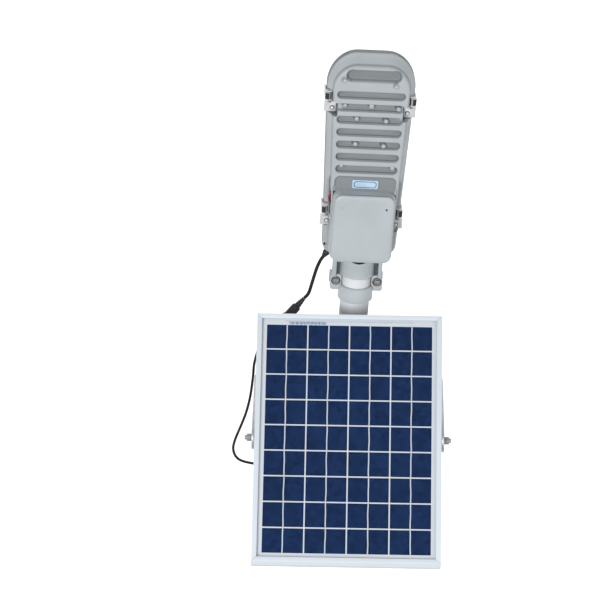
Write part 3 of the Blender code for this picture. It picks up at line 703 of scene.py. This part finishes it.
def top_height(x, along):
    """The casting's upper side: a flange, a slope, then ridges, less the grooves, the bay and the notches."""
    d, inset = slope_inset(x, along)
    top = head_top(along)
    low = 4.5 + ramp01((along - 168.0) / 24.0) * (top - 8.5)
    z = np.full_like(x, 1.5)
    bands = ((0.0, 0.6, 0.2, 1.5), (0.6, 2.2, 1.5, 3.6), (2.2, SLOPE_END, 3.6, low),
             (SLOPE_END, 8.2, low, top - 1.2), (8.2, 9.6, top - 1.2, top))
    for a, b, z0, z1 in bands:
        t = np.clip((inset - a) / (b - a), 0, 1)
        z = np.where(inset >= a, z0 + (z1 - z0) * (t if a < SLOPE_END else ramp01(t)), z)
    cut = np.zeros_like(x)
    for centre in GROOVES:
        s = slot_distance(x, along, centre, edge(centre) - GROOVE_IN, GROOVE_WIDE)
        cut = np.maximum(cut, GROOVE_DEEP * ramp01(-s / 1.6 + 0.15))
    pocket = slot_distance(x + POCKET_OFF, along, POCKET_AT, POCKET_HALF, POCKET_WIDE)
    cut = np.maximum(cut, POCKET_DEEP * ramp01(-pocket / 2.4 + 0.15))
    cut = np.maximum(cut, BAY_DEEP * ramp01(-bay_distance(x, along) / 2.6 + 0.1))
    z = z - cut
    for side, at in CLIPS.values():
        plate = (edge(at) - CLIP_IN[at > 200] - 1.6, at - 8.4, at + 9.4)
        grip = (edge(at) - 6.2, at + 7.5, at + 23.4)
        for inner, start, stop in (plate, grip):
            inside = np.minimum(np.minimum(side * x - inner, along - start), stop - along)
            z = np.minimum(z, NOTCH_FLOOR + NOTCH_WALL * (1 - ramp01(inside / 0.7 + 0.5)))
    return np.where((along < CASE_END) & (d > CASE_IN), np.minimum(z, CASE_TOP), z)


def under_height(x, along):
    """The casting's underside: flat, with the hollow above the light."""
    d, _ = edge_distance(x, along)
    inside = np.minimum(d - 8.0, along - 180.0)
    return -10.0 + 13.5 * ramp01(inside / 1.5)


def casting_relief(x, along, top, rim):
    """The painted shade of each point of the upper side, from how far it lies under or over what is round it,
    with more painted shade in the bay, along the crease, beside the posts, in the clips' notches and at the
    rim.
    """
    smooth = top.copy()
    for _ in range(SMOOTHING_PASSES):
        padded = np.pad(smooth, 1, mode="edge")
        smooth = (padded[:-2, 1:-1] + padded[2:, 1:-1] + padded[1:-1, :-2] + padded[1:-1, 2:]) / 4
    relief = PLAIN + np.clip((smooth - top) * TONE_PER_MM, -PLAIN, DEEPEST)
    _, inset = slope_inset(x, along)
    relief = np.where(inset < 6.2, np.minimum(relief, FLANGE_TONE), relief)
    # Painted shade inside the label's bay.
    relief = np.maximum(relief, PLAIN + BAY_SHADE * ramp01(-bay_distance(x, along) / 2.0))
    # Painted shade along the crease where the slope meets the ledge.
    crease = CREASE_SHADE * np.exp(-((inset - SLOPE_END) / CREASE_HALF) ** 2)
    relief += np.where(along > CREASE_FROM, crease, 0)
    # Painted shadow beside each post, offset to one side.
    for across, at, r in POSTS:
        in_pocket = at > POCKET_POSTS_FROM
        away = np.hypot(x - across - 1.2, along - at - 1.4) - r
        shadow = (POCKET_POST_SHADOW if in_pocket else GROOVE_POST_SHADOW) * ramp01(1 - away / POST_SPREAD)
        relief += shadow * ((top < head_top(along) - 2) | in_pocket)
    # The notch floors beside the clips get the darkest painted shade.
    for side, at in CLIPS.values():
        beside = (side * x > edge(at) - CLIP_IN[at > 200] - 1.8) & (np.abs(along - at - 7.2) < 15.9)
        relief = np.where(beside & (top < 5.2) & (inset > 0.8), 1.0, relief)
    # The rim all round gets a fixed painted shade.
    return np.where(rim, RIM_SHADE, np.clip(relief, 0, 1))


def housing():
    """The casting's top and underside on one lattice that follows the outline, stitched at the rim."""
    corners = REAR_END - REAR_R * np.cos(np.linspace(0, pi / 2, 14))
    case = np.linspace(84, 160, 56, endpoint=False)
    ribs = np.linspace(160, 312, 208, endpoint=False)
    nose = NOSE - NOSE_LONG + NOSE_LONG * np.sin(np.linspace(0.19, pi / 2, 44))
    rows = np.concatenate([corners, case, ribs, nose])
    bands = np.concatenate([np.linspace(0, 0.10, 7), np.linspace(0.10, 0.30, 18)[1:],
                            np.linspace(0.30, 1.0, 30)[1:]])
    across = np.concatenate([-(1 - bands), (1 - bands)[::-1][1:]])
    widths = np.array([half_width(a) for a in rows])
    x = widths[:, None] * across[None, :]
    along = np.repeat(rows[:, None], len(across), axis=1)
    top, under = top_height(x, along), under_height(x, along)
    ends = (rows[:, None] < rows[0] + 1e-6) | (rows[:, None] > rows[-1] - 1e-6)
    rim = (np.abs(across)[None, :] > 0.9999) | ends
    top = np.where(rim, 0.3, top)
    nr, nc = x.shape
    verts = np.concatenate([np.stack([x, -along, h], -1).reshape(-1, 3) for h in (top, under)])
    grid = np.arange(nr * nc).reshape(nr, nc)
    quads = np.stack([grid[:-1, :-1], grid[:-1, 1:], grid[1:, 1:], grid[1:, :-1]], -1).reshape(-1, 4)
    faces = [tuple(q) for q in quads] + [tuple(q[::-1] + nr * nc) for q in quads]
    loop = np.concatenate([grid[0, :-1], grid[:-1, -1], grid[-1, :0:-1], grid[:0:-1, 0]])
    nxt = np.roll(loop, -1)
    faces += [(a, a + nr * nc, b + nr * nc, b) for a, b in zip(loop, nxt)]
    faces = [tuple(int(i) for i in f) for f in faces]
    body = piece("housing_casting", verts, outward(verts, faces), HEAD_PAINT, LAMP, body="lamp",
                 node="housing", slot="cast_grey", sharp=50)
    # The top takes its painted shade from the relief; the underside stays plain but for the rim's painted
    # shade.
    tones = (casting_relief(x, along, top, rim), np.where(rim, RIM_SHADE, PLAIN))
    values = np.concatenate([t.reshape(-1) for t in tones]).astype(np.float32)
    body.data.attributes.new("relief", "FLOAT", "POINT").data.foreach_set("value", values)
    levels = [(-2.2, 3.0), (-0.9, 4.4), (-0.2, 6.5), (0.2, 9.0), (2.2, 33.4), (2.9, 35.4), (4.2, 36.0)]
    case = [[(x, y, z) for x, y in rounded(-42.4 + i, 42.4 - i, -168.4 + i, -69.6 - i, 11 - i * 0.6, 8)]
            for i, z in levels]
    lofted("housing_case", case, CAST, LAMP, body="lamp", slot="cast_grey", sharp=40)


housing()


def posts():
    """Round ejector posts standing in the grooves and the pocket."""
    for k, (x, along, r) in enumerate(POSTS):
        top = float(head_top(along)) + (1.4 if along > POCKET_POSTS_FROM else 0.0)
        stations = [(r + 0.9, top - 7.5), (r + 0.5, top - 2.0), (r + 0.3, top + 0.1), (r - 0.2, top + 0.6),
                    (0.02, top + 0.75)]
        lofted(f"casting_post_{k + 1}", upright(stations, 20, (x, -along)), CAST, LAMP, body="lamp",
               slot="cast_grey", sharp=50)


posts()


def neck():
    """The sleeve over the pipe with its window, the two ears and the rails that carry them."""
    inner, outer, ease = 19.35, 22.7, 1.2

    def sleeve(name, low, high, steps=0):
        section = [(inner, low), (inner, high), (outer - ease, high), (outer, high - ease)]
        for k in range(steps):
            at = high - 12.0 - 2.6 * k
            section += [(outer, at), (outer - 0.45, at - 0.5), (outer - 0.45, at - 0.9), (outer, at - 1.4)]
        section += [(outer, low + ease), (outer - ease, low)]
        rings = [[(u, -along, v) for u, v in circle(r, 64)] for r, along in section]
        lofted(name, rings, LID_PAINT, LAMP, closed=True, body="lamp", slot="cast_grey", sharp=40)

    # Both sleeves are in the lid's lighter grey as painted light.
    sleeve("neck_ring_outer", 4.0, 25.0)
    sleeve("neck_ring_inner", 39.0, 70.0, 6)
    for side, tag in ((1, "left"), (-1, "right")):
        web = [[(side * r * cos(radians(a)), y, r * sin(radians(a)))
                for r, y in ((inner, -24.0), (outer, -24.0), (outer, -40.0), (inner, -40.0))]
               for a in range(-16, 9, 4)]
        lofted(f"neck_web_{tag}", web, CAST, LAMP, body="lamp", slot="cast_grey", sharp=40)
        # The floors between the sleeve and the rails are dark grey as painted shade.
        floor = [[(side * x, y, z) for x, y in rounded(21.0, 29.9, -74, -37, 0.6, 2)] for z in (-2.9, 1.6)]
        lofted(f"neck_floor_{tag}", floor, CAST_SHADE, LAMP, body="lamp", slot="cast_grey", sharp=40)
        ear = [[(side * x, y, z) for x, y in rounded(19.5 + i, 34.2 - i, -39 + i, -17 - i, 3.4, 5)]
               for i, z in [(0.5, -3.2), (0.0, -2.6), (0.0, 5.4), (0.25, 5.9), (0.8, 6.1)]]
        lofted(f"neck_ear_{tag}", ear, CAST, LAMP, body="lamp", slot="cast_grey", sharp=40)
        rail = [[(side * x, y, z) for x, y in rounded(27.2 + i, 32.4 - i, -80, -36 - i, 1.6, 4)]
                for i, z in [(0.3, -3.2), (0.0, -2.6), (0.0, 8.0), (0.3, 8.8), (1.0, 9.2)]]
        lofted(f"neck_rail_{tag}", rail, CAST, LAMP, body="lamp", slot="cast_grey", sharp=40)


neck()


def lip_gap_shade():
    """A dark sheet of painted shade in the opening between the lid's lip and the neck."""
    rings = []
    for k in range(13):
        a = radians(5.5 * (k - 6))
        low = 61.6 + 3.4 * (abs(k - 6) / 6) ** 1.6
        section = ((22.6, low), (22.85, low), (22.85, 67.5), (22.6, 67.5))
        rings.append([(r * sin(a), -y, r * cos(a)) for r, y in section])
    lofted("neck_drain_gap", rings, SHADE_BLACK, LAMP, body="lamp", slot="cast_grey")


lip_gap_shade()


def rain_hole():
    """The small drain hole in the rear corner of the flange, as a dark disc of painted shade."""
    x, along = 45.0, 81.0
    z = float(top_height(np.array([x]), np.array([along]))[0])
    stations = ((1.9, z - 0.8), (1.9, z + 0.2), (0.02, z + 0.2))
    lofted("rain_hole", upright(stations, 16, (x, -along)), SHADE_BLACK, LAMP, body="lamp", slot="cast_grey")


rain_hole()


def lid():
    """The case's lid and its two screws: one with a socket disc of painted shade, one worn bright."""
    base = 37.8
    levels = [(0.15, base), (0.0, base + 0.3), (0.0, base + 2.0), (0.35, base + 2.9), (1.1, base + 3.6),
              (2.3, base + 4.1), (4.0, base + 4.4), (9.0, base + 4.5)]
    rings = [[(x, y, z) for x, y in rounded(-39 + i, 39 - i, -166.5 + i, -72.5 - i, 10.5 - i * 0.55, 10)]
             for i, z in levels]
    lofted("lid_cover", rings, LID_PAINT, LAMP, body="lamp", node="lid", slot="cast_grey", sharp=60)
    for tag, at, finish in (("a", (-28.5, -149.5), SHADE_BLACK), ("b", (30.0, -150.0), ZINC)):
        stations = [(1.7, base), (1.7, base + 4.45), (2.3, base + 4.5), (2.4, base + 4.75),
                    (1.6, base + 4.95), (0.9, base + 4.95), (0.8, base + 4.6), (0.02, base + 4.6)]
        lofted(f"lid_screw_{tag}_head", upright(stations, 20, at), LID_PAINT, LAMP, body="lamp",
               node=f"lid_screw_{tag}", slot="stainless")
        # A disc on each head: painted shade for one socket, bare zinc on the other.
        socket = ((1.35, base + 4.9), (1.35, base + 5.02), (0.02, base + 5.02))
        lofted(f"lid_screw_{tag}_socket", upright(socket, 16, at), finish, LAMP, body="lamp",
               slot="stainless")


lid()


def label():
    """A pale plate with a dark rounded outline and a plain lighter field: no lettering."""
    plate = [[(x, y, z) for x, y in rounded(-17 + i, 17 - i, -181.5 + i, -169.8 - i, 2.2, 6)]
             for i, z in [(0, 22.2), (0, 23.4), (0.4, 23.7)]]
    lofted("label_plate_face", plate, LABEL_BLUE, LAMP, body="lamp", node="label_plate", slot="label_blue")
    line = [[(x, y, z) for x, y in rounded(-w, w, -175.65 - h, -175.65 + h, r, 8)]
            for w, h, r, z in ((14.6, 4.4, 3.4, 23.7), (14.6, 4.4, 3.4, 23.85), (13.7, 3.5, 2.9, 23.85),
                               (13.7, 3.5, 2.9, 23.7))]
    lofted("label_outline", line, LABEL_INK, LAMP, closed=True, body="lamp", slot="label_blue")


label()


# ---------------------------------------------------------------- solar panel

def cell_grid(name, material, size, pitch, counts, centre, thick, corner):
    """Geometry Nodes lay out rows and columns of one small plate, about a point of the panel."""
    tree = bpy.data.node_groups.new(name, "GeometryNodeTree")
    tree.interface.new_socket("Geometry", in_out="INPUT", socket_type="NodeSocketGeometry")
    tree.interface.new_socket("Geometry", in_out="OUTPUT", socket_type="NodeSocketGeometry")
    for title, kind, value in (("Pitch X", "Float", pitch[0] * MM), ("Pitch Y", "Float", pitch[1] * MM),
                               ("Columns", "Int", counts[0]), ("Rows", "Int", counts[1])):
        socket = tree.interface.new_socket(title, in_out="INPUT", socket_type=f"NodeSocket{kind}")
        socket.default_value = value
    add = tree.nodes.new
    given, out = add("NodeGroupInput"), add("NodeGroupOutput")
    grid, spread, realize, paint = (add("GeometryNodeMeshGrid"), add("GeometryNodeInstanceOnPoints"),
                                    add("GeometryNodeRealizeInstances"), add("GeometryNodeSetMaterial"))
    for axis, count, step in (("X", "Columns", "Pitch X"), ("Y", "Rows", "Pitch Y")):
        less, span = add("ShaderNodeMath"), add("ShaderNodeMath")
        less.operation, span.operation = "SUBTRACT", "MULTIPLY"
        less.inputs[1].default_value = 1.0
        tree.links.new(given.outputs[count], less.inputs[0])
        tree.links.new(less.outputs[0], span.inputs[0])
        tree.links.new(given.outputs[step], span.inputs[1])
        tree.links.new(span.outputs[0], grid.inputs[f"Size {axis}"])
        tree.links.new(given.outputs[count], grid.inputs[f"Vertices {axis}"])
    paint.inputs["Material"].default_value = material
    tree.links.new(grid.outputs["Mesh"], spread.inputs["Points"])
    tree.links.new(given.outputs["Geometry"], spread.inputs["Instance"])
    tree.links.new(spread.outputs["Instances"], realize.inputs["Geometry"])
    tree.links.new(realize.outputs["Geometry"], paint.inputs["Geometry"])
    tree.links.new(paint.outputs["Geometry"], out.inputs["Geometry"])
    w, h = size[0] / 2, size[1] / 2
    outline = rounded(-w, w, -h, h, corner, 3)
    verts = [Vector((x, y, z)) * MM for z in (0, thick) for x, y in outline]
    mesh = bpy.data.meshes.new(name)
    mesh.from_pydata(verts, [], outward(verts, rings_faces(2, len(outline))))
    obj = bpy.data.objects.new(name, mesh)
    bpy.context.scene.collection.objects.link(obj)
    obj.modifiers.new("layout", "NODES").node_group = tree
    apply_modifiers(obj)
    obj.data.transform(PANEL @ Matrix.Translation(Vector(centre) * MM))
    return obj


COLUMNS, ROWS, COLUMN_PITCH, ROW_PITCH = 4, 9, 54.0, 36.0
SHEET_TOP = 3.05
RATING_MARKS = 30


def panel():
    """The cells, their ribbons and the rating strip's plain marks, then the frame and what hangs on it."""
    shift = 3.0
    sheet = [[(x, y, z) for x, y in rounded(-117.8, 117.8, shift - 172.8, shift + 172.8, 1, 2)]
             for z in (2.35, SHEET_TOP)]
    lofted("cell_backing", sheet, SHEET, PANEL, body="panel", node="cell_laminate", slot="cell_blue")
    cells = cell_grid("solar_cells", CELLS, (52.2, 34.0), (COLUMN_PITCH, ROW_PITCH), (COLUMNS, ROWS),
                      (0, shift, SHEET_TOP), 0.2, 0.6)
    dress(cells, CELLS, "panel", None)
    for k in range(COLUMNS):
        middle = (k - (COLUMNS - 1) / 2) * COLUMN_PITCH
        path = [(middle + 0.35 * sin(i * 0.9 + k * 2.1) * sin(i * 0.37 + k), shift - 162 + 324 * i / 54)
                for i in range(55)]
        rings = [[(x - 0.75, y, z0), (x + 0.75, y, z0), (x + 0.75, y, z1), (x - 0.75, y, z1)]
                 for (x, y), z0, z1 in ((p, 3.2, 3.38) for p in path)]
        lofted(f"busbar_ribbon_{k + 1}", rings, RIBBON, PANEL, body="panel", slot="aluminium")
    for end in (-1, 1):
        y = shift + end * 166.4
        rings = [[(x, y - 1.0, 3.06), (x, y + 1.0, 3.06), (x, y + 1.0, 3.3), (x, y - 1.0, 3.3)]
                 for x in np.linspace(-84, 84, 4)]
        lofted(f"collector_ribbon_{'inner' if end > 0 else 'outer'}", rings, RIBBON, PANEL, body="panel",
               slot="aluminium")
    marks = []
    for k in range(RATING_MARKS):
        x, low = 77.0 - 1.6 * k, shift - 166.2 + 0.8 * sin(k * 1.7) ** 2
        high, wide = low + 3.0 + 1.3 * sin(k * 2.3) ** 2, 0.55 + 0.35 * (k % 3 == 0)
        marks += [[(x, low, z), (x + wide, low, z), (x + wide, high, z), (x, high, z)] for z in (3.36, 3.44)]
    verts = [p for ring in marks for p in ring]
    faces = [tuple(8 * k + i for i in quad) for k in range(RATING_MARKS) for quad in rings_faces(2, 4)]
    piece("rating_strip_marks", verts, outward(verts, faces), LABEL_INK, PANEL, body="panel",
          slot="label_blue")
    for name in ("frame_left", "frame_right", "frame_top", "frame_bottom"):
        refined(name, FRAME_ALU, "panel", 0.35)
    glaze("panel_glass")
    refined("back_sheet", SHEET, "panel", 0)
    refined("junction_box", BLACK, "panel", 0.6)
    refined("junction_box_lid", BLACK, "panel", 0.8, 3)
    refined("junction_gland", BLACK, "panel", 0.3)
    for side in ("left", "right"):
        refined(f"pivot_bolt_{side}", STEEL, "panel", 0.3)
        refined(f"pivot_nut_{side}", STEEL, "panel", 0.4)


panel()


# ---------------------------------------------------------------- arm, bracket, clamps

def arm():
    """The wall plate, the pipe and the metalwork that carries the panel."""
    refined("wall_plate", WHITE, "arm", 0.8, 3)
    refined("arm_pipe", PIPE_WHITE, "arm", 0.3, 1, sharp=50)
    refined("arm_gusset", WHITE, "arm", 0.5)
    for name in ("saddle_upper", "saddle_lower"):
        refined(name, ZINC, "arm", 0.5)
    for name in ("saddle_bolt_a", "saddle_bolt_b", "swivel_bolt"):
        refined(name, STEEL, "arm", 0.35)
    refined("u_bracket", ZINC, "arm", 0.4)


arm()


# ---------------------------------------------------------------- lamp fittings

GRIP_AT = 14.6
PLAIN_FITTINGS = {"clamp_saddle": (CAST, "cast_grey"), "cable_gland": (BLACK, "black_plastic"),
                  "switch_body": (BLACK, "black_plastic"), "lid_gasket": (RUBBER, "black_rubber"),
                  "battery_pack": (WRAP, "battery_wrap"), "controller_board": (GREEN, "board_green"),
                  "led_board": (BOARD, "board_white"), "reflector": (BOARD, "board_white")}


def clip_trim(corner):
    """What a clip adds to its plate and lever: a rivet over a dark ring of painted shadow, a dark grip on the
    lever and the bail wire.
    """
    side, at = CLIPS[corner]
    inner = CLIP_IN[at > 200]
    centre = (side * (edge(at) - inner + 5.0), -at + 2.0)
    # A dark ring under the rivet, as painted shadow.
    rivet_shade = ((3.1, 5.2), (3.1, 5.5), (0.02, 5.5))
    rivet = ((2.3, 5.4), (2.3, 6.7), (1.9, 7.3), (1.1, 7.6), (0.02, 7.6))
    for name, stations, finish in (("rivet_shade", rivet_shade, SHADE_BLACK), ("rivet", rivet, CLIP_STEEL)):
        lofted(f"clip_{name}_{corner}", upright(stations, 20, centre), finish, LAMP, body="lamp",
               slot="stainless")
    reach = edge(at + GRIP_AT) - edge(at) + 1.2
    arc = [radians(a) for a in range(96, 14, -9)]
    outline = [((reach + 2.45) * cos(a), (reach + 2.45) * sin(a)) for a in arc]
    outline += [((reach + 2.7) * cos(a), (reach + 2.7) * sin(a)) for a in reversed(arc)]
    pad = [[(side * (edge(at) - 1.2 + u), -at - GRIP_AT + y, 9.0 + v) for u, v in outline]
           for y in (-5.9, 2.6)]
    lofted(f"clip_grip_{corner}", pad, RUBBER, LAMP, body=f"latch_{corner}", slot="black_rubber")
    xs = np.linspace(edge(at) + 1.2, edge(at) - inner + 1.0, 12)
    heights = np.maximum(top_height(xs * side, np.full(12, at + 25.0)), 6.5) + 0.5
    path = [Vector((side * x, -at - 10.6, z)) for x, z in zip(xs, heights)]
    if corner == "rear_right":
        hook = [Vector((side * (edge(at) - inner + 3.0 + 4.6 * sin(a)), -at + 7.0 + 4.6 * cos(a), 7.2 + a))
                for a in np.linspace(0.2, 2.3, 12)]
        lofted("clip_tail_rear_right", tube_rings(hook, 0.9, 10), DARK_BOLT_STEEL, LAMP, body="lamp",
               slot="stainless", sharp=60)
    lofted(f"clip_bail_{corner}", tube_rings(path, 0.85, 10), CLIP_STEEL, LAMP, body="lamp", slot="stainless",
           sharp=60)


def fittings():
    """What the lamp carries: its fittings, the clips, the switch and the cover under the light."""
    for name, (finish, slot) in PLAIN_FITTINGS.items():
        refined(name, finish, "lamp", 0.3)
    for tag in "ab":
        refined(f"clamp_bolt_{tag}", DARK_BOLT_STEEL, "lamp", 0.35)
    for corner in CLIPS:
        refined(f"latch_base_{corner}", CLIP_STEEL, "lamp", 0.25)
        refined(f"latch_pin_{corner}", STEEL, "lamp", 0.2)
        refined(f"latch_lever_{corner}", CLIP_STEEL, f"latch_{corner}", 0.25)
        clip_trim(corner)
    refined("switch_rocker", RED, "rocker", 0.3)
    low, high = local_box("switch_rocker", LAMP)
    bezel = []
    for grow, x in ((2.1, 41.9), (2.1, 43.4), (1.7, 43.8), (1.0, 43.8), (1.0, 41.9)):
        outline = rounded(low[1] - grow, high[1] + grow, low[2] - grow, high[2] + grow, 1.4, 4)
        bezel.append([(x, y, z) for y, z in outline])
    lofted("switch_bezel", bezel, BLACK, LAMP, closed=True, body="lamp", slot="black_plastic")
    # A dark ring round each clamp bolt's head, as painted shadow.
    for tag in "ab":
        low, high = local_box(f"clamp_bolt_{tag}", LAMP)
        middle = ((low[0] + high[0]) / 2, (low[1] + high[1]) / 2)
        bolt_shade = upright(((5.0, 6.0), (6.1, 6.0), (6.1, 6.22), (5.0, 6.22)), 28, middle)
        lofted(f"clamp_bolt_{tag}_seat", bolt_shade, SHADE_BLACK, LAMP, closed=True, body="lamp", slot="stainless")
    refined("cover_frame", CAST, "cover", 0.6, 3)
    refined("cover_gasket", RUBBER, "cover", 0.2)
    glaze("cover_glass")


fittings()
